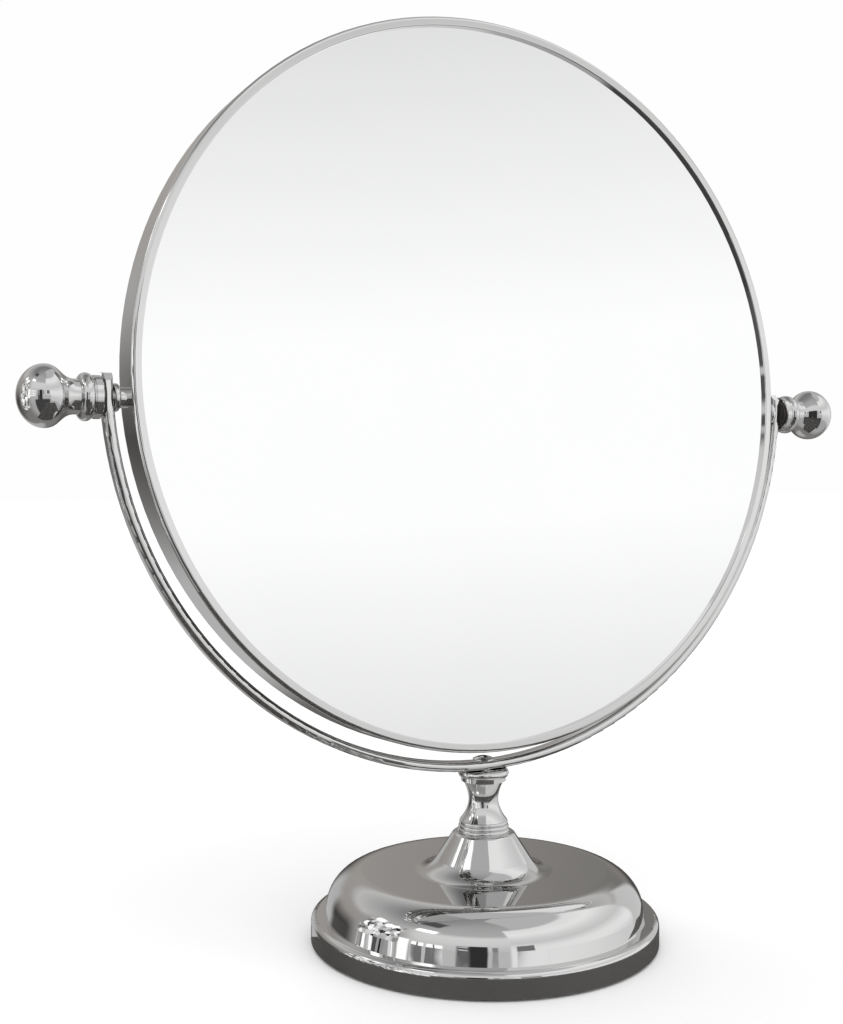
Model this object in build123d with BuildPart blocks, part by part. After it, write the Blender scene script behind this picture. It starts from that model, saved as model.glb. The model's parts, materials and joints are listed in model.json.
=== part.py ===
from build123d import *
import os
from math import cos, radians, sin, sqrt, tan

# Countertop mirror: a round framed glass that tips in a half-circle yoke, on a turned stem and a
# weighted, domed base. Millimetres. +Z is up, the glass faces -Y, and the tilt axis runs along X.
# The origin is the centre of the base's underside. "left" is the -X side.

# --- driving dimensions ---------------------------------------------------------------------------

# mirror head
head_radius = 127.0        # outside of the hoop: a 10 inch mirror
hoop_depth = 14.0          # front to back
hoop_wall = 1.2
hoop_corner = 1.3          # rounding between the hoop's band and its front lip
lip_width = 3.3            # radial width of the front lip, from the outside of the hoop
lip_thickness = 1.4
edge_rounding = 0.35       # of the hoop's other edges
glass_radius = 124.7
glass_thickness = 3.0
glass_chamfer = 0.3
board_radius = 124.3
board_thickness = 6.0
cover_sheet = 0.8
cover_flange = 5.0         # flat ring around the rear cover's crown
cover_step = 1.2           # height of the crown's edge over the flange
cover_crown = 2.2          # further rise of the crown to its middle
ring_wire = 0.8            # radius of the retaining ring's wire
ring_bite = 0.3            # depth of the groove that the ring springs into
ring_split = 12.0          # gap between the ring's ends
lean = 2.7                 # degrees the head rests tipped back

# yoke
yoke_gap = 4.4             # radial space between hoop and yoke
yoke_thickness = 3.5       # radial
yoke_depth = 6.0           # front to back
yoke_rounding = 1.5        # of the bar's four long edges
yoke_end_bevel = 2.4
pivot_drop = 7.5           # the tilt axis lies this far below the yoke's centre

# pivots, from the hoop outwards
stud_radius = 2.5
stud_head_radius = 3.6
stud_head_thickness = 0.5
spacer_radius = 3.2
bush_radius = 4.4
bush_width = 1.9
bush_shoulder = 1.1        # rounding towards the mirror
bush_rim = 0.4             # rounding towards the yoke
arm_flat_thickness = 2.9   # the yoke's arm where it is faced flat on both sides
washer_radius = 5.6
washer_thickness = 0.8
thread_in_knob = 10.0
face_gap = 0.05            # between faces that turn on each other, and around a shaft
spotface_margin = 0.4      # a faced flat is wider than what sits on it by this much all round

# knob, as distances inwards from its tip and radii
knob_length = 25.0
ball_radius = 9.65
ball_nose = 8.2            # tip to the ball's widest place
neck_at = 17.3
neck_radius = 5.4
bead_start = 18.2
bead_peak_at = 20.6
bead_radius = 7.4
bead_end = 22.3
collar_radius = 6.7
collar_groove = 6.2
collar_step = 0.2          # length of the groove's flat
collar_bevel = 0.3

# base
plinth_radius = 60.8
plinth_height = 9.1
plinth_rounding = 2.2
dome_radius = 56.2         # at its foot
dome_top = 24.0
dome_rounding = 13.0
dome_lean = 12.0           # degrees that the dome's side leans inwards
cone_top = 37.4
cone_land = 9.8            # radius of the flat at the cone's top
cone_shoulder = 1.5
cone_slope = 57.0          # degrees
cone_flare = 9.0           # radius of the sweep between cone and dome
shell_sheet = 1.2
shell_lift = 0.8           # the shell's edge stays this far off the counter
pad_height = 3.0
weight_clearance = 1.0
nut_lift = 1.3             # from the pad up to the nut

# stem
stem_top = 59.0            # lowest line of the yoke's outside
flange_radius = 8.9
flange_low = 56.9
flange_bulge = 0.5         # of the flange's rounded edge
ring_radius = 7.8
ring_low = 55.3
neck_top_radius = 7.1
waist_radius = 5.2
waist_height = 48.7
flare_radius = 8.3
flare_low = 41.5
stem_bead_radius = 8.5     # of the uppermost
stem_groove_radius = 8.0   # above it
stem_bead_step = 0.3       # each bead stands out this much more than the one above
stem_beads = 3

# fasteners
rod_radius = 3.0
rod_in_stem = 9.0
rod_end = 0.6              # the rod's length below its nut
nut_across_flats = 10.0
nut_height = 5.0
tie_washer_radius = 9.0
tie_washer_thickness = 1.2
screw_radius = 2.0
screw_length = 12.0
screw_point = 0.4          # chamfer at the screw's end
screw_head_radius = 3.7
screw_head_height = 1.5
screw_head_edge = 0.5      # height of the head's upright edge
recess_length = 4.4
recess_width = 1.1
recess_depth = 0.9
thread_gap = 0.02          # drawn between a screw and its hole
thread_chamfer = 0.5
tapping_spare = 1.0        # depth of a tapped hole past its screw
hole_clearance = 0.2       # around a screw or rod where it only passes through

# --- places worked out from them ------------------------------------------------------------------

yoke_inner = head_radius + yoke_gap
yoke_outer = yoke_inner + yoke_thickness
yoke_centre = stem_top + yoke_outer
pivot_height = yoke_centre - pivot_drop
tilt_axis = Axis((0, 0, pivot_height), (1, 0, 0))

# The head's section plane: x is the radius, y the distance behind the hoop's middle.
head_plane = Plane((0, 0, pivot_height), x_dir=(1, 0, 0), z_dir=(0, 0, 1))
head_plane = head_plane.rotated((-lean, 0, 0)).offset(pivot_drop)
head_axis = Axis(head_plane.origin, head_plane.y_dir)
front = -hoop_depth / 2
rear = hoop_depth / 2
hoop_inner = head_radius - hoop_wall
glass_front = front + lip_thickness
board_front = glass_front + glass_thickness
cover_front = board_front + board_thickness
ring_centre = cover_front + cover_sheet + ring_wire

# Distances along the tilt axis, outwards from the middle of the mirror.
hoop_wall_at_pivot = sqrt(hoop_inner**2 - pivot_drop**2)
stud_head_face = sqrt(hoop_inner**2 - (pivot_drop + stud_head_radius)**2) - face_gap
arm_inside = sqrt(yoke_inner**2 - pivot_drop**2)
arm_outside = arm_inside + arm_flat_thickness
bush_outside = arm_inside - face_gap
bush_inside = bush_outside - bush_width
washer_inside = arm_outside + face_gap
knob_face = washer_inside + washer_thickness + face_gap
knob_tip = knob_face + knob_length
stud_end = knob_face + thread_in_knob
collar_start = knob_tip - bead_end - collar_step

# The base: how far the dome's crown and side run, and the length of the cone's straight slope.
crown_fall = dome_rounding * (1 - sin(radians(dome_lean)))
side_run = (dome_top - crown_fall - plinth_height) * tan(radians(dome_lean))
crown_start = dome_radius - side_run - dome_rounding * cos(radians(dome_lean))
cone_fall = cone_top - dome_top - (cone_shoulder + cone_flare) * (1 - cos(radians(cone_slope)))
cone_length = cone_fall / sin(radians(cone_slope))

# Section planes through the tilt axis: x runs outwards along the axis, y is the radius.
arms = {
    "left": Plane((0, 0, pivot_height), x_dir=(-1, 0, 0), z_dir=(0, 1, 0)),
    "right": Plane((0, 0, pivot_height), x_dir=(1, 0, 0), z_dir=(0, -1, 0)),
}

nut_low = pad_height + nut_lift
washer_low = nut_low + nut_height
counterbore_top = washer_low + tie_washer_thickness

pieces = []


def finish(piece, name):
    """Label a finished piece and put it on the list of those to write."""
    piece.part.label = name
    pieces.append(piece)


def ring_section(inner, outer, low, high):
    """A rectangle in a section plane, from its inner and outer x and its low and high y."""
    with Locations(((inner + outer) / 2, (low + high) / 2)):
        Rectangle(outer - inner, high - low)


def bead(start, end, peak):
    """A rounded bead between two points of a turned outline, bulging to the peak radius."""
    return ThreePointArc(start, (peak, (start[1] + end[1]) / 2), end)


# --- base -----------------------------------------------------------------------------------------

# The shell is spun from sheet: one outline from the cone's hole to the plinth's lower edge, given
# the sheet's thickness on its inner side.
with BuildPart() as base_shell:
    with BuildSketch(Plane.XZ):
        with BuildLine():
            land = Line((rod_radius + hole_clearance, cone_top), (cone_land, cone_top))
            shoulder = JernArc(land @ 1, land % 1, cone_shoulder, -cone_slope)
            cone = Line(shoulder @ 1, shoulder @ 1 + shoulder % 1 * cone_length)
            flare = JernArc(cone @ 1, cone % 1, cone_flare, cone_slope)
            top = Line(flare @ 1, (crown_start, dome_top))
            crown = JernArc(top @ 1, top % 1, dome_rounding, dome_lean - 90)
            wall = Line(crown @ 1, (dome_radius, plinth_height))
            ledge = Line(wall @ 1, (plinth_radius - plinth_rounding, plinth_height))
            edge = JernArc(ledge @ 1, ledge % 1, plinth_rounding, -90)
            Line(edge @ 1, (plinth_radius, shell_lift))
            offset(amount=shell_sheet, side=Side.RIGHT)
        make_face()
    revolve(axis=Axis.Z)
finish(base_shell, "base_shell")

# A cast slug under the dome. Its flange bears on the underside of the shell's ledge.
with BuildPart() as base_weight:
    with BuildSketch(Plane.XZ):
        flange_top = plinth_height - shell_sheet
        slug_radius = dome_radius - shell_sheet - weight_clearance
        slug_top = dome_top - shell_sheet - weight_clearance
        slug_top_radius = slug_radius - (slug_top - flange_top) * tan(radians(dome_lean))
        ring_section(0, plinth_radius - shell_sheet - weight_clearance, pad_height, flange_top)
        with BuildLine():
            Polyline((0, flange_top), (slug_radius, flange_top), (slug_top_radius, slug_top),
                     (0, slug_top), close=True)
        make_face()
        slug_edge = vertices().sort_by_distance((slug_top_radius, slug_top))[0]
        fillet(slug_edge, dome_rounding - shell_sheet - weight_clearance)
    revolve(axis=Axis.Z)
    with BuildSketch(Plane.XY.offset(pad_height)):
        Circle(tie_washer_radius + weight_clearance)
    extrude(amount=counterbore_top - pad_height, mode=Mode.SUBTRACT)
    Hole(rod_radius + hole_clearance)
finish(base_weight, "base_weight")

with BuildPart() as base_pad:
    with BuildSketch():
        Circle(plinth_radius - shell_sheet - weight_clearance)
    extrude(amount=pad_height)
finish(base_pad, "base_pad")

# --- tie rod, washer and nut ----------------------------------------------------------------------

with BuildPart() as tie_rod:
    with BuildSketch(Plane.XY.offset(nut_low - rod_end)):
        Circle(rod_radius)
    extrude(amount=cone_top + rod_in_stem - nut_low + rod_end)
    chamfer(edges().filter_by(GeomType.CIRCLE), thread_chamfer)
finish(tie_rod, "tie_rod")

with BuildPart() as tie_washer:
    with BuildSketch(Plane.XY.offset(washer_low)):
        Circle(tie_washer_radius)
        Circle(rod_radius + hole_clearance, mode=Mode.SUBTRACT)
    extrude(amount=tie_washer_thickness)
finish(tie_washer, "tie_washer")

with BuildPart() as tie_nut:
    with BuildSketch(Plane.XY.offset(nut_low)):
        RegularPolygon(nut_across_flats / 2, 6, major_radius=False)
        Circle(rod_radius + thread_gap, mode=Mode.SUBTRACT)
    extrude(amount=nut_height)
finish(tie_nut, "tie_nut")

# --- stem -----------------------------------------------------------------------------------------

with BuildPart() as stem:
    saddle_rise = yoke_outer - sqrt(yoke_outer**2 - flange_radius**2)
    rim = stem_top + saddle_rise
    flange_flat = flange_radius - flange_bulge
    bead_height = (flare_low - cone_top) / stem_beads
    bead_lines = [flare_low - bead_height * n for n in range(stem_beads + 1)]
    grooves = [stem_groove_radius + stem_bead_step * n for n in range(stem_beads + 1)]
    with BuildSketch(Plane.XZ):
        with BuildLine():
            Line((0, rim), (flange_flat, rim))
            bead((flange_flat, rim), (flange_flat, flange_low), flange_radius)
            Polyline((flange_flat, flange_low), (ring_radius, flange_low),
                     (ring_radius, ring_low), (neck_top_radius, ring_low))
            Spline((neck_top_radius, ring_low), (waist_radius, waist_height),
                   (flare_radius, flare_low), tangents=[(-0.5, -1), (0.8, -1)])
            Line((flare_radius, flare_low), (stem_groove_radius, flare_low))
            for n in range(stem_beads):
                bead((grooves[n], bead_lines[n]), (grooves[n + 1], bead_lines[n + 1]),
                     stem_bead_radius + stem_bead_step * n)
            Polyline((grooves[-1], cone_top), (0, cone_top), (0, rim))
        make_face()
    revolve(axis=Axis.Z)
    # The top is hollowed to the yoke's curve.
    with BuildSketch(Plane.XZ):
        with Locations((0, yoke_centre)):
            Circle(yoke_outer)
    extrude(amount=2 * flange_radius, both=True, mode=Mode.SUBTRACT)
    # Tapped holes for the yoke's screw above and the tie rod below.
    with BuildSketch(Plane.XY.offset(rim)):
        Circle(screw_radius + thread_gap)
    extrude(amount=-screw_length, mode=Mode.SUBTRACT)
    with BuildSketch(Plane.XY.offset(cone_top)):
        Circle(rod_radius + thread_gap)
    extrude(amount=rod_in_stem + tapping_spare, mode=Mode.SUBTRACT)
finish(stem, "stem")

# --- yoke and its screw ---------------------------------------------------------------------------

with BuildPart() as yoke:
    with BuildSketch(Plane.XY.offset(yoke_centre)):
        with Locations((-(yoke_inner + yoke_outer) / 2, 0)):
            RectangleRounded(yoke_thickness, yoke_depth, yoke_rounding)
    revolve(axis=Axis((0, 0, yoke_centre), (0, -1, 0)), revolution_arc=180)
    # Both ends are bevelled front and back.
    with BuildSketch(Plane.YZ):
        with BuildLine():
            half_depth = yoke_depth / 2
            Polyline((-half_depth, 0), (-half_depth, yoke_centre - yoke_end_bevel),
                     (-half_depth + yoke_end_bevel, yoke_centre),
                     (half_depth - yoke_end_bevel, yoke_centre),
                     (half_depth, yoke_centre - yoke_end_bevel), (half_depth, 0), close=True)
        make_face()
    extrude(amount=2 * yoke_outer, both=True, mode=Mode.INTERSECT)
    # Pivot holes, and the flats that the bush and the washer turn on.
    with BuildSketch(Plane.YZ):
        with Locations((0, pivot_height)):
            Circle(bush_radius + spotface_margin)
    extrude(amount=arm_inside, both=True, mode=Mode.SUBTRACT)
    with BuildSketch(Plane.YZ):
        with Locations((0, pivot_height)):
            Circle(stud_radius + face_gap)
    extrude(amount=yoke_outer, both=True, mode=Mode.SUBTRACT)
    for arm in arms.values():
        with BuildSketch(Plane(arm.origin + arm.x_dir * arm_outside, z_dir=arm.x_dir)):
            Circle(pivot_drop)
        extrude(amount=yoke_thickness, mode=Mode.SUBTRACT)
    # The screw's hole, with a flat for its head.
    with BuildSketch(Plane.XY.offset(yoke_centre - yoke_inner)):
        Circle(screw_head_radius + spotface_margin)
    extrude(amount=yoke_thickness, mode=Mode.SUBTRACT)
    with BuildSketch():
        Circle(screw_radius + hole_clearance)
    extrude(amount=yoke_centre, mode=Mode.SUBTRACT)
finish(yoke, "yoke")

with BuildPart() as yoke_screw:
    seat = yoke_centre - yoke_inner
    head_top = seat + screw_head_height
    point = seat - screw_length
    with BuildSketch(Plane.XZ):
        with BuildLine():
            Polyline((0, head_top), (0, point), (screw_radius - screw_point, point),
                     (screw_radius, point + screw_point), (screw_radius, seat),
                     (screw_head_radius, seat), (screw_head_radius, seat + screw_head_edge))
            TangentArc((0, head_top), (screw_head_radius, seat + screw_head_edge), tangent=(1, 0))
        make_face()
    revolve(axis=Axis.Z)
    with BuildSketch(Plane.XY.offset(head_top)):
        Rectangle(recess_length, recess_width)
        Rectangle(recess_width, recess_length)
    extrude(amount=-recess_depth, mode=Mode.SUBTRACT)
finish(yoke_screw, "yoke_screw")

# --- mirror head ----------------------------------------------------------------------------------

with BuildPart() as hoop:
    with BuildSketch(head_plane):
        ring_section(hoop_inner, head_radius, front, rear)
        ring_section(head_radius - lip_width, head_radius, front, glass_front)
        corner = vertices().sort_by_distance((head_radius, front))[0]
        fillet(corner, hoop_corner)
        lip_edge = vertices().sort_by_distance((head_radius - lip_width, front))[0]
        fillet(lip_edge, edge_rounding)
        rear_edges = vertices().group_by(Axis.Y)[-1]
        fillet(rear_edges, edge_rounding)
        with Locations((hoop_inner + ring_bite - ring_wire, ring_centre)):
            Circle(ring_wire, mode=Mode.SUBTRACT)
    revolve(axis=head_axis)
    with BuildSketch(Plane.YZ):
        with Locations((0, pivot_height)):
            Circle(stud_radius + thread_gap)
    extrude(amount=head_radius, both=True, mode=Mode.SUBTRACT)
finish(hoop, "hoop")

with BuildPart() as mirror_glass:
    with BuildSketch(head_plane):
        ring_section(0, glass_radius, glass_front, board_front)
        glass_edges = vertices().group_by(Axis.X)[-1]
        chamfer(glass_edges, glass_chamfer)
    revolve(axis=head_axis)
finish(mirror_glass, "mirror_glass")

with BuildPart() as backing_board:
    with BuildSketch(head_plane):
        ring_section(0, board_radius, board_front, cover_front)
    revolve(axis=head_axis)
finish(backing_board, "backing_board")

# The rear cover is pressed from sheet, with a flat flange and a shallow crown.
with BuildPart() as rear_cover:
    crown_radius = board_radius - cover_flange
    crown_edge = cover_front + cover_step
    with BuildSketch(head_plane):
        with BuildLine():
            flange_line = Line((board_radius, cover_front), (crown_radius + cover_step, cover_front))
            step_line = Line(flange_line @ 1, (crown_radius, crown_edge))
            middle = (0, crown_edge + cover_crown)
            TangentArc(middle, step_line @ 1, tangent=(1, 0))
            offset(amount=cover_sheet, side=Side.RIGHT)
        make_face()
    revolve(axis=head_axis)
finish(rear_cover, "rear_cover")

# A ring of spring wire, sprung into the hoop's groove behind the cover and split at the foot.
with BuildPart() as retaining_ring:
    with BuildSketch(head_plane):
        with Locations((hoop_inner + ring_bite - ring_wire, ring_centre)):
            Circle(ring_wire)
    revolve(axis=head_axis)
    with BuildSketch(Plane(head_plane.origin, x_dir=head_plane.x_dir, z_dir=head_plane.y_dir)):
        with Locations((0, hoop_inner)):
            Rectangle(ring_split, 4 * ring_wire)
    extrude(amount=hoop_depth, mode=Mode.SUBTRACT)
finish(retaining_ring, "retaining_ring")

# --- pivots and knobs, one set on each arm --------------------------------------------------------

for side_name, arm in arms.items():
    # The stud's thin head lies inside the hoop, and its thread ends in the knob.
    with BuildPart() as stud:
        with BuildSketch(arm):
            ring_section(stud_head_face - stud_head_thickness, stud_head_face, 0, stud_head_radius)
            ring_section(stud_head_face, stud_end, 0, stud_radius)
            stud_tip = vertices().sort_by_distance((stud_end, stud_radius))[0]
            chamfer(stud_tip, thread_chamfer)
        revolve(axis=tilt_axis)
    finish(stud, side_name + "_stud")

    # A short tube brazed to the outside of the hoop, cut to the hoop's curve.
    with BuildPart() as spacer:
        with BuildSketch(arm):
            ring_section(hoop_wall_at_pivot, bush_inside, stud_radius + thread_gap, spacer_radius)
        revolve(axis=tilt_axis)
        with BuildSketch(head_plane):
            ring_section(0, head_radius, front, rear)
        revolve(axis=head_axis, mode=Mode.SUBTRACT)
    finish(spacer, side_name + "_spacer")

    with BuildPart() as bush:
        with BuildSketch(arm):
            ring_section(bush_inside, bush_outside, stud_radius + thread_gap, bush_radius)
            inner_corner = vertices().sort_by_distance((bush_inside, bush_radius))[0]
            fillet(inner_corner, bush_shoulder)
            outer_corner = vertices().sort_by_distance((bush_outside, bush_radius))[0]
            fillet(outer_corner, bush_rim)
        revolve(axis=tilt_axis)
    finish(bush, side_name + "_bush")

    with BuildPart() as friction_washer:
        with BuildSketch(arm):
            ring_section(washer_inside, washer_inside + washer_thickness,
                         stud_radius + face_gap, washer_radius)
        revolve(axis=tilt_axis)
    finish(friction_washer, side_name + "_washer")

    with BuildPart() as knob:
        with BuildSketch(arm):
            with BuildLine():
                nose = EllipticalCenterArc((knob_tip - ball_nose, 0), ball_nose, ball_radius,
                                           start_angle=0, arc_size=90)
                neck = Spline(nose @ 1, (knob_tip - neck_at, neck_radius), tangents=[(-1, 0), (-1, 0)])
                flat = Line(neck @ 1, (knob_tip - bead_start, neck_radius))
                swell = ThreePointArc(flat @ 1, (knob_tip - bead_peak_at, bead_radius),
                                      (knob_tip - bead_end, collar_groove))
                Polyline(swell @ 1, (collar_start, collar_groove),
                         (collar_start - collar_bevel, collar_radius),
                         (knob_face + collar_bevel, collar_radius),
                         (knob_face, collar_radius - collar_bevel), (knob_face, 0), nose @ 0)
            make_face()
        revolve(axis=tilt_axis)
        with BuildSketch(Plane(arm.origin + arm.x_dir * knob_face, z_dir=arm.x_dir)):
            Circle(stud_radius + thread_gap)
        extrude(amount=thread_in_knob + tapping_spare, mode=Mode.SUBTRACT)
    finish(knob, side_name + "_knob")

# --- one STEP file for each piece -----------------------------------------------------------------

os.makedirs("parts", exist_ok=True)
for piece in pieces:
    export_step(piece.part, f"parts/{piece.part.label}.step")
    size = piece.part.bounding_box().size
    print(f"{piece.part.label:16s} {size.X:7.1f} {size.Y:7.1f} {size.Z:7.1f}")
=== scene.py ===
import json
from math import cos, pi, radians, sin

import bmesh
import bpy
from mathutils import Matrix, Vector


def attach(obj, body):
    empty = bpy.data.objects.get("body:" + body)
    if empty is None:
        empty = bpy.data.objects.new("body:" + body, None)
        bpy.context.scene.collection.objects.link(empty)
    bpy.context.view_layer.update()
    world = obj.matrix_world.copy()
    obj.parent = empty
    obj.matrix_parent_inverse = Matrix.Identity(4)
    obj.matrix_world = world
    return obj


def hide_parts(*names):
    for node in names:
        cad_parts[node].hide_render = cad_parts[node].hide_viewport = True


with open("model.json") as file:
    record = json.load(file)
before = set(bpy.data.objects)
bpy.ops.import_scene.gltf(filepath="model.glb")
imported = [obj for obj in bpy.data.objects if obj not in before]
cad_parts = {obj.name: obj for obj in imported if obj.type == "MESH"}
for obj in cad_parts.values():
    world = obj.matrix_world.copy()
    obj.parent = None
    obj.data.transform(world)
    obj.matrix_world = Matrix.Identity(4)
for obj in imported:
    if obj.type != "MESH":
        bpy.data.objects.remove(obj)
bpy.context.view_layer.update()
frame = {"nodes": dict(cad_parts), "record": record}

# A countertop mirror: chromed hoop, yoke, knobs, stem and base, and a silvered glass. The chrome has
# no look of its own but what it reflects, so most of this file is its finish and the plain room
# around it. Everything is in metres, in the frame's own axes: +Z up, and the glass faces -Y.

nodes = frame["nodes"]


# --- node helpers ---------------------------------------------------------------------------------

def feed(tree, socket, value):
    """Give an input a number, a colour or another node's output."""
    if isinstance(value, bpy.types.NodeSocket):
        tree.links.new(value, socket)
    else:
        socket.default_value = value


def maths(tree, operation, *values):
    """The output of a Math node."""
    node = tree.nodes.new("ShaderNodeMath")
    node.operation = operation
    for socket, value in zip(node.inputs, values):
        feed(tree, socket, value)
    return node.outputs[0]


def remap(tree, value, low, high, to_low, to_high, smooth=False):
    """value, taken from the range low to high into the range to_low to to_high."""
    node = tree.nodes.new("ShaderNodeMapRange")
    node.interpolation_type = "SMOOTHSTEP" if smooth else "LINEAR"
    for socket, setting in zip(node.inputs, (value, low, high, to_low, to_high)):
        feed(tree, socket, setting)
    return node.outputs[0]


def mixed(tree, factor, first, second):
    """Two colours, mixed by a factor."""
    node = tree.nodes.new("ShaderNodeMix")
    node.data_type = "RGBA"
    feed(tree, node.inputs["Factor"], factor)
    feed(tree, node.inputs["A"], first)
    feed(tree, node.inputs["B"], second)
    return node.outputs["Result"]


def red_of(tree, colour):
    """The red channel of a colour."""
    node = tree.nodes.new("ShaderNodeSeparateColor")
    tree.links.new(colour, node.inputs["Color"])
    return node.outputs["Red"]


def grey(value, warmth=0.0):
    """A colour of one brightness, leaning to brown by warmth."""
    return (value * (1 + warmth), value, value * (1 - warmth), 1)


# --- camera ---------------------------------------------------------------------------------------
# It stands in front of the mirror and to its left, a little below the middle of the glass.
CAMERA_PLACE = Vector((-0.2400, -0.4059, 0.1601))
CAMERA_PAN = 27.16         # degrees to the right of +Y
CAMERA_TILT = -0.98        # degrees above the horizon
CAMERA_ROLL = 0.23         # degrees about the line of sight
CAMERA_LENS = 47.18        # mm, on Blender's 36 mm sensor
CAMERA_SHIFT = (0.0191, -0.0065)    # in parts of the picture's longer side


def make_camera():
    """The scene's camera."""
    pan, tilt, roll = radians(CAMERA_PAN), radians(CAMERA_TILT), radians(CAMERA_ROLL)
    ahead = Vector((sin(pan) * cos(tilt), cos(pan) * cos(tilt), sin(tilt)))
    level = Vector((cos(pan), -sin(pan), 0))
    right = level * cos(roll) + ahead.cross(level) * sin(roll)
    up = right.cross(ahead)
    camera_data = bpy.data.cameras.new("camera")
    camera_data.lens = CAMERA_LENS
    camera_data.shift_x, camera_data.shift_y = CAMERA_SHIFT
    camera = bpy.data.objects.new("camera", camera_data)
    axes = Matrix((right, up, -ahead)).transposed()
    camera.matrix_world = Matrix.Translation(CAMERA_PLACE) @ axes.to_4x4()
    bpy.context.scene.collection.objects.link(camera)
    bpy.context.scene.camera = camera


make_camera()


# --- materials ------------------------------------------------------------------------------------
GREENEST_SILVER = (0.925, 0.935, 0.93, 1)
WHITEST_SILVER = (0.94, 0.945, 0.942, 1)
DARK_BROWN = (0.16, 0.10, 0.06, 1)
LIGHT_BROWN = (0.34, 0.24, 0.15, 1)
FLECK_BROWN = (0.45, 0.34, 0.22, 1)


def new_material(name):
    """A material, its node tree, its shader and the place on the object that its textures use."""
    material = bpy.data.materials.new(name)
    material.use_nodes = True
    tree = material.node_tree
    shader = tree.nodes["Principled BSDF"]
    place = tree.nodes.new("ShaderNodeTexCoord").outputs["Object"]
    return material, tree, shader, place


def noise(tree, place, size, detail=3.0, roughness=0.55, stretch=(1, 1, 1)):
    """Noise from 0 to 1 with features of that size in metres, stretched along the axes."""
    mapping = tree.nodes.new("ShaderNodeMapping")
    mapping.inputs["Scale"].default_value = [1 / (size * s) for s in stretch]
    tree.links.new(place, mapping.inputs["Vector"])
    node = tree.nodes.new("ShaderNodeTexNoise")
    node.inputs["Scale"].default_value = 1.0
    node.inputs["Detail"].default_value = detail
    node.inputs["Roughness"].default_value = roughness
    tree.links.new(mapping.outputs["Vector"], node.inputs["Vector"])
    return node.outputs["Fac"]


def cells(tree, place, size):
    """A pattern of cells of that size, in the units of place."""
    node = tree.nodes.new("ShaderNodeTexVoronoi")
    node.inputs["Scale"].default_value = 1 / size
    tree.links.new(place, node.inputs["Vector"])
    return node


def bump(tree, height, depth, under=None):
    """A normal from a height of 0 to 1 that stands for depth in metres."""
    node = tree.nodes.new("ShaderNodeBump")
    node.inputs["Distance"].default_value = depth
    tree.links.new(height, node.inputs["Height"])
    if under:
        tree.links.new(under, node.inputs["Normal"])
    return node.outputs["Normal"]


def chrome():
    """Polished chromium plate: sharp reflections, a slight waviness, wiping marks and faint haze."""
    material, tree, shader, place = new_material("chrome")
    shader.inputs["Metallic"].default_value = 1.0
    haze = noise(tree, place, 0.030, detail=4)
    marks = noise(tree, place, 0.0006, detail=2, stretch=(1, 14, 3))
    tone = mixed(tree, haze, grey(0.66), grey(0.71, 0.006))
    clouded = remap(tree, haze, 0.45, 0.8, 0.018, 0.060, smooth=True)
    wiped = remap(tree, marks, 0.55, 0.75, 0.0, 0.030)
    feed(tree, shader.inputs["Base Color"], tone)
    feed(tree, shader.inputs["Roughness"], maths(tree, "ADD", clouded, wiped))
    waves = bump(tree, noise(tree, place, 0.012, detail=1), 0.000012)
    feed(tree, shader.inputs["Normal"], bump(tree, marks, 0.0000002, under=waves))
    return material


def silvered_glass():
    """The mirror, as one silver surface with its coating's slight mottle and a little dust."""
    material, tree, shader, place = new_material("silvered_glass")
    shader.inputs["Metallic"].default_value = 1.0
    mottle = noise(tree, place, 0.06, detail=2)
    dust = noise(tree, place, 0.0012, detail=5, roughness=0.7)
    feed(tree, shader.inputs["Base Color"], mixed(tree, mottle, GREENEST_SILVER, WHITEST_SILVER))
    dusty = remap(tree, dust, 0.70, 0.90, 0.0, 0.03)
    hazy = remap(tree, mottle, 0.3, 0.7, 0.0, 0.004)
    feed(tree, shader.inputs["Roughness"], maths(tree, "ADD", dusty, hazy))
    return material


def zinc_plate():
    """Bright zinc on steel: small grains of differing tone, and turning marks."""
    material, tree, shader, place = new_material("zinc_plate")
    shader.inputs["Metallic"].default_value = 1.0
    grain = cells(tree, place, 0.0008).outputs["Distance"]
    marks = noise(tree, place, 0.0004, stretch=(12, 1, 1))
    feed(tree, shader.inputs["Base Color"], mixed(tree, grain, grey(0.56, 0.02), grey(0.70, 0.01)))
    feed(tree, shader.inputs["Roughness"], remap(tree, marks, 0.3, 0.8, 0.26, 0.48))
    feed(tree, shader.inputs["Normal"], bump(tree, marks, 0.00001))
    return material


def painted_casting():
    """A rough sand casting under thin black paint."""
    material, tree, shader, place = new_material("painted_casting")
    sand = noise(tree, place, 0.0012, detail=6, roughness=0.7)
    worn = remap(tree, noise(tree, place, 0.012, detail=5), 0.62, 0.74, 0.0, 1.0)
    feed(tree, shader.inputs["Base Color"], mixed(tree, worn, grey(0.018), grey(0.075, 0.15)))
    feed(tree, shader.inputs["Roughness"], remap(tree, sand, 0.2, 0.8, 0.45, 0.8))
    feed(tree, shader.inputs["Normal"], bump(tree, sand, 0.0004))
    return material


def felt():
    """Pressed black felt: matted fibres with a dull sheen."""
    material, tree, shader, place = new_material("felt")
    shader.inputs["Sheen Weight"].default_value = 0.35
    shader.inputs["Sheen Roughness"].default_value = 0.5
    shader.inputs["Roughness"].default_value = 0.95
    fibres = noise(tree, place, 0.0003, detail=6, roughness=0.75, stretch=(1, 5, 1))
    tufts = noise(tree, place, 0.004, detail=3)
    feed(tree, shader.inputs["Base Color"], mixed(tree, fibres, grey(0.010), grey(0.055)))
    feed(tree, shader.inputs["Normal"], bump(tree, maths(tree, "ADD", fibres, tufts), 0.0003))
    return material


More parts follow.
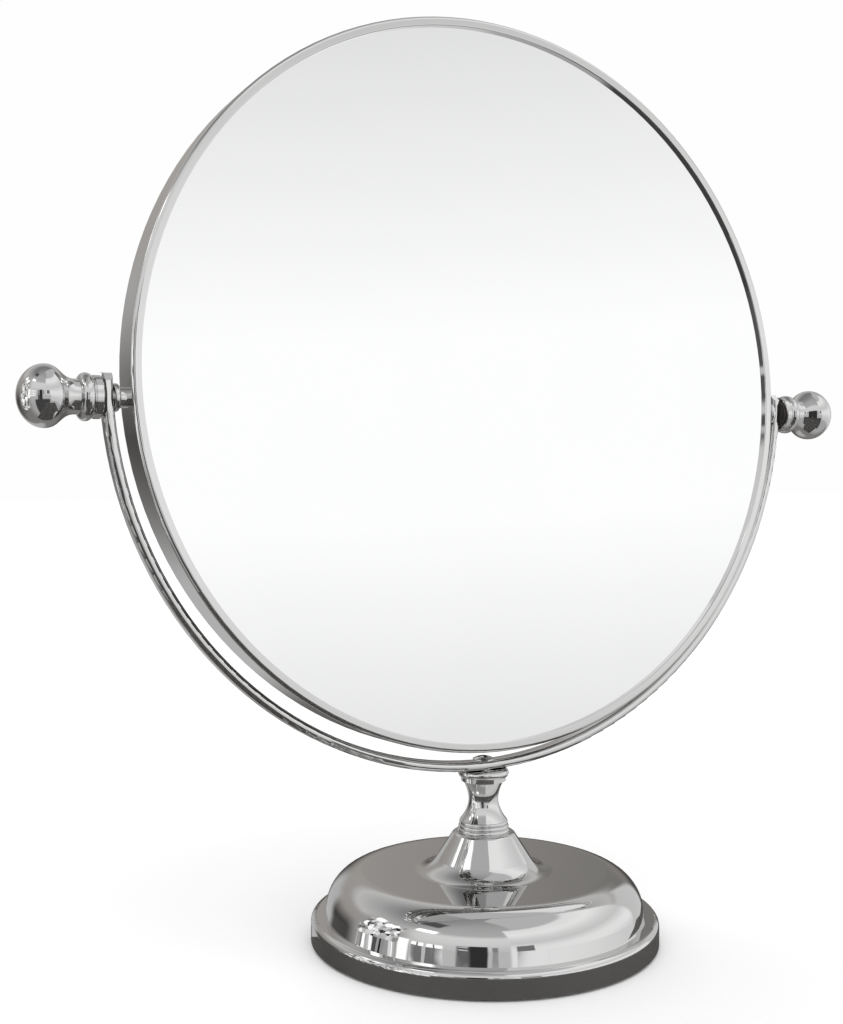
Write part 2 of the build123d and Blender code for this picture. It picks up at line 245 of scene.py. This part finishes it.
def vulcanised_fibre():
    """The friction washers: nearly black, waxy, rubbed shiny in places."""
    material, tree, shader, place = new_material("vulcanised_fibre")
    fibres = noise(tree, place, 0.0004, detail=5, stretch=(1, 4, 4))
    rubbed = noise(tree, place, 0.002)
    feed(tree, shader.inputs["Base Color"], mixed(tree, fibres, grey(0.012, 0.1), grey(0.035, 0.2)))
    feed(tree, shader.inputs["Roughness"], remap(tree, rubbed, 0.35, 0.7, 0.35, 0.65))
    feed(tree, shader.inputs["Normal"], bump(tree, fibres, 0.00004))
    return material


def fibreboard():
    """Brown pressed board with flecks of lighter fibre."""
    material, tree, shader, place = new_material("fibreboard")
    fibres = noise(tree, place, 0.0015, detail=6, roughness=0.7, stretch=(3, 1, 1))
    flecks = cells(tree, place, 0.003).outputs["Distance"]
    brown = mixed(tree, fibres, DARK_BROWN, LIGHT_BROWN)
    fleck = remap(tree, flecks, 0.0, 0.25, 0.5, 0.0)
    feed(tree, shader.inputs["Base Color"], mixed(tree, fleck, brown, FLECK_BROWN))
    feed(tree, shader.inputs["Roughness"], remap(tree, fibres, 0.2, 0.8, 0.75, 0.92))
    feed(tree, shader.inputs["Normal"], bump(tree, fibres, 0.0001))
    return material


def dress_nodes():
    """Give every CAD node the material of its slot in the record."""
    finishes = {
        "chrome": chrome(),
        "silvered_glass": silvered_glass(),
        "steel": zinc_plate(),
        "iron": painted_casting(),
        "felt": felt(),
        "fibre": vulcanised_fibre(),
        "fibreboard": fibreboard(),
    }
    for part in frame["record"]["subparts"]:
        materials = nodes[part["node"]].data.materials
        materials.clear()
        materials.append(finishes[part["material_slot"]])


dress_nodes()


# --- rear cover -----------------------------------------------------------------------------------
# The node's triangles meet in a fan at the middle of its crown, where their normals are uneven, and
# that shows in chrome. The cover is made again here with the same shape and even normals.
WELD = 0.000002            # vertices nearer than this become one, in metres
SHARPEST_SMOOTH = 25.0     # degrees between faces that still shine as one surface


def make_cover():
    """The rear cover's own shape, welded and smoothly shaded."""
    shell = bmesh.new()
    shell.from_mesh(nodes["rear_cover"].data)
    bmesh.ops.remove_doubles(shell, verts=shell.verts, dist=WELD)
    bmesh.ops.dissolve_degenerate(shell, edges=shell.edges, dist=WELD)
    for face in shell.faces:
        face.smooth = True
    for edge in shell.edges:
        edge.smooth = edge.calc_face_angle(0.0) < radians(SHARPEST_SMOOTH)
    mesh = bpy.data.meshes.new("pressed_cover")
    shell.to_mesh(mesh)
    shell.free()
    if "custom_normal" in mesh.attributes:
        mesh.attributes.remove(mesh.attributes["custom_normal"])
    mesh.materials.clear()
    mesh.materials.append(nodes["rear_cover"].data.materials[0])
    cover = bpy.data.objects.new("pressed_cover", mesh)
    bpy.context.scene.collection.objects.link(cover)
    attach(cover, "head")
    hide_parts("rear_cover")


make_cover()


# --- stage ----------------------------------------------------------------------------------------
FLOOR_HALF = 12.0          # from the middle of the floor to its sides
TABLE_X = (-0.24, 0.11)    # left and right sides of the dark table top
TABLE_Y = (-0.36, 0.03)    # its front and rear edges
TABLE_DROP = 0.0005        # how far it lies below the floor's surface
BACKDROP = grey(0.99)      # what the camera sees behind the mirror
FLOOR_LIGHT = grey(1.20)   # what lights the floor from all round


def flat_sheet(name, xs, ys, z, material):
    """A level rectangle that belongs to the stage."""
    mesh = bpy.data.meshes.new(name)
    corners = [(xs[0], ys[0], z), (xs[1], ys[0], z), (xs[1], ys[1], z), (xs[0], ys[1], z)]
    mesh.from_pydata(corners, [], [(0, 1, 2, 3)])
    mesh.materials.append(material)
    sheet = bpy.data.objects.new(name, mesh)
    bpy.context.scene.collection.objects.link(sheet)
    return sheet


def make_floor():
    """A plain pale floor. It isn't seen in the chrome, which reflects the room instead."""
    material, tree, shader, place = new_material("pale_floor")
    tone = mixed(tree, noise(tree, place, 0.4), grey(0.925), grey(0.935))
    feed(tree, shader.inputs["Base Color"], tone)
    shader.inputs["Roughness"].default_value = 0.9
    shader.inputs["Specular IOR Level"].default_value = 0.0
    reach = (-FLOOR_HALF, FLOOR_HALF)
    floor = flat_sheet("floor", reach, reach, 0.0, material)
    floor.visible_glossy = False
    floor.visible_transmission = False


def make_table():
    """A dark table top under the mirror, which only the chrome sees, as it would see a black card."""
    material, tree, shader, place = new_material("dark_table")
    grain = noise(tree, place, 0.02, detail=4, stretch=(1, 9, 1))
    feed(tree, shader.inputs["Base Color"], mixed(tree, grain, grey(0.015, 0.06), grey(0.105, 0.06)))
    feed(tree, shader.inputs["Roughness"], remap(tree, grain, 0.3, 0.7, 0.5, 0.8))
    table = flat_sheet("dark_table", TABLE_X, TABLE_Y, -TABLE_DROP, material)
    table.visible_camera = False
    table.visible_diffuse = False
    table.visible_shadow = False
    table.visible_transmission = False


make_floor()
make_table()


# --- room -----------------------------------------------------------------------------------------
# The room is the world's shader, by direction. Azimuth is 0 towards -Y, where the glass faces, and
# grows towards +X; elevation is above the horizon. Both are in degrees.
WALL_BLEND = 0.25          # the rear and front walls merge where a direction's y is within this of 0
WINDOW_SILL = -3
WINDOW_HEAD = 14
RAIL_HALF = 0.9            # half the height of the rails across a window
BAR_HALF = 0.6             # half the width of the bar down its middle
TRAY_HALF = 0.8            # half the height of a tray in the rack
LAMP_HALF = 2.5            # half the height of a lamp


def around(middle, half):
    """The two angles that far to either side of a middle one."""
    return middle - half, middle + half


def between(tree, angle, low, high, soft):
    """1 where angle is from low to high, 0 outside, with edges that soft on either side."""
    rise = remap(tree, angle, low - soft, low + soft, 0.0, 1.0, smooth=True)
    fall = remap(tree, angle, high - soft, high + soft, 1.0, 0.0, smooth=True)
    return maths(tree, "MULTIPLY", rise, fall)


def panel(tree, angles, behind, colour, azimuths, elevations, soft):
    """behind, with a panel of one colour over it between two azimuths and two elevations."""
    azimuth, elevation = angles
    across = between(tree, azimuth, *azimuths, soft)
    upright = between(tree, elevation, *elevations, soft)
    return mixed(tree, maths(tree, "MULTIPLY", across, upright), behind, colour)


def panels(tree, angles, room, rows):
    """room, with panels laid over it in order: colour, azimuths, elevations and softness of each."""
    for colour, azimuths, elevations, soft in rows:
        room = panel(tree, angles, room, colour, azimuths, elevations, soft)
    return room


def levels(tree, angle, stops):
    """A colour by angle, from a list of (degrees, colour)."""
    lowest, highest = stops[0][0], stops[-1][0]
    node = tree.nodes.new("ShaderNodeValToRGB")
    feed(tree, node.inputs["Fac"], remap(tree, angle, lowest, highest, 0.0, 1.0))
    ramp = node.color_ramp
    for degrees_at, colour in stops[1:-1]:
        stop = ramp.elements.new((degrees_at - lowest) / (highest - lowest))
        stop.color = colour
    ramp.elements[0].color = stops[0][1]
    ramp.elements[-1].color = stops[-1][1]
    return node.outputs["Color"]


def walls(tree, north, elevation):
    """The room's shell: brown and dull behind the mirror, paler in front of it, a darker ceiling."""
    rear = levels(tree, elevation, [(-90, grey(0.27, 0.03)), (-35, grey(0.25, 0.03)),
                                    (-24, grey(0.16, 0.04)), (-3, grey(0.065, 0.05)),
                                    (5, grey(0.20, 0.05)), (14, grey(0.38, 0.05)),
                                    (24, grey(0.42, 0.04)), (31, grey(0.66, 0.01)),
                                    (45, grey(0.50)), (62, grey(0.24)), (90, grey(0.34))])
    fore = levels(tree, elevation, [(-90, grey(0.50)), (-30, grey(0.50)), (-8, grey(0.60)),
                                    (4, grey(0.66)), (24, grey(0.85)), (38, grey(0.90)),
                                    (46, grey(0.56)), (60, grey(0.52)), (90, grey(0.40))])
    rearward = remap(tree, north, -WALL_BLEND, WALL_BLEND, 0.0, 1.0, smooth=True)
    return mixed(tree, rearward, fore, rear)


def furniture(tree, angles, room):
    """A brown cupboard, a dull stretch of wall, a paler strip straight behind, and a dark beam."""
    room = panels(tree, angles, room, [
        (grey(0.22, 0.04), (100, 150), (8, 26), 9),
        (grey(0.42, 0.02), (-135, -92), (-20, 34), 8),
    ])
    azimuth, elevation = angles
    either_side = maths(tree, "ABSOLUTE", azimuth)
    room = panel(tree, (either_side, elevation), room, grey(0.55), (168, 190), (-60, 14), 6)
    return panel(tree, angles, room, grey(0.10), (-106, -78), (57, 68), 2)


def screens(tree, angles, room):
    """White screens ahead and to the right under a pale ceiling, and a dark frame on the nearest."""
    white = levels(tree, angles[1], [(-25, grey(0.70)), (-7, grey(0.82)), (3, grey(1.05)),
                                     (11, grey(1.05)), (24, grey(0.78)), (34, grey(0.88)),
                                     (46, grey(1.10)), (60, grey(1.00))])
    return panels(tree, angles, room, [
        (grey(0.62), (0, 135), (50, 95), 4),
        (white, (13, 100), (-20, 60), 2),
        (white, (-12, 14), (1, 60), 1.5),
        (grey(0.70), (98, 125), (-20, 28), 3),
        (grey(0.22), (-8, 5), (4, 17), 0.7),
    ])


def clutter(tree, angles, room):
    """Shelves of goods beyond the windows: boxes from black to white, in uneven patches."""
    azimuth, elevation = angles
    place = tree.nodes.new("ShaderNodeCombineXYZ")
    feed(tree, place.inputs["X"], azimuth)
    feed(tree, place.inputs["Y"], maths(tree, "MULTIPLY", elevation, 0.6))
    goods = cells(tree, place.outputs[0], 3.2).outputs["Color"]
    tone = maths(tree, "POWER", red_of(tree, goods), 1.6)
    shade = mixed(tree, tone, grey(0.03), grey(1.8))
    return panel(tree, angles, room, shade, (-128, -94), (-30, 38), 2.5)


def windows(tree, angles, room):
    """Two barred windows with a bright curtain beside them."""
    bright, dark = grey(1.5), grey(0.22)
    opening = (WINDOW_SILL, WINDOW_HEAD)
    room = panel(tree, angles, room, bright, (-92, -84), (WINDOW_SILL - 4, WINDOW_HEAD + 2), 1)
    for sides in ((-82, -73), (-71, -59)):
        room = panel(tree, angles, room, bright, sides, opening, 0.7)
        for third in (1 / 3, 2 / 3):
            rail = WINDOW_SILL + (WINDOW_HEAD - WINDOW_SILL) * third
            room = panel(tree, angles, room, dark, sides, around(rail, RAIL_HALF), 0.5)
        bar = sum(sides) / 2
        room = panel(tree, angles, room, dark, around(bar, BAR_HALF), opening, 0.4)
    return room


def door(tree, angles, room):
    """A rack of pale trays, a tall dark door, the dark floor before them, and a grey post."""
    room = panel(tree, angles, room, grey(0.12), (-49, -39), (-40, 17), 1.5)
    for tray in (3, 7, 11, 15):
        room = panel(tree, angles, room, grey(0.75), (-48, -41), around(tray, TRAY_HALF), 0.5)
    return panels(tree, angles, room, [
        (grey(0.04), (-40, -28), (-45, 18), 0.8),
        (grey(0.07), (-62, 8), (-62, -14), 3),
        (grey(0.30), (-25, -21), (4, 16), 0.8),
    ])


def lights(tree, angles, room):
    """Lamps under the ceiling."""
    for azimuth, elevation, half_width in ((-80, 44, 9), (-108, 33, 4), (-122, 35, 4)):
        across, upright = around(azimuth, half_width), around(elevation, LAMP_HALF)
        room = panel(tree, angles, room, grey(3.0), across, upright, 2.5)
    return room


def make_room():
    """The world: the room for reflections, and plain white for the camera and the floor."""
    world = bpy.data.worlds.new("room")
    world.use_nodes = True
    world.cycles.sampling_method = "NONE"
    bpy.context.scene.world = world
    tree = world.node_tree
    parts = tree.nodes.new("ShaderNodeSeparateXYZ")
    tree.links.new(tree.nodes.new("ShaderNodeTexCoord").outputs["Generated"], parts.inputs[0])
    east, north, up = parts.outputs
    to_degrees = 180 / pi
    south = maths(tree, "MULTIPLY", north, -1.0)
    azimuth = maths(tree, "MULTIPLY", maths(tree, "ARCTAN2", east, south), to_degrees)
    elevation = maths(tree, "MULTIPLY", maths(tree, "ARCSINE", up), to_degrees)
    room = walls(tree, north, elevation)
    for fittings in (furniture, screens, clutter, windows, door, lights):
        room = fittings(tree, (azimuth, elevation), room)

    ray = tree.nodes.new("ShaderNodeLightPath")
    seen = mixed(tree, ray.outputs["Is Camera Ray"], room, BACKDROP)
    lit = mixed(tree, ray.outputs["Is Diffuse Ray"], seen, FLOOR_LIGHT)
    feed(tree, tree.nodes["Background"].inputs["Color"], lit)


make_room()
bpy.context.scene.view_settings.view_transform = "Standard"
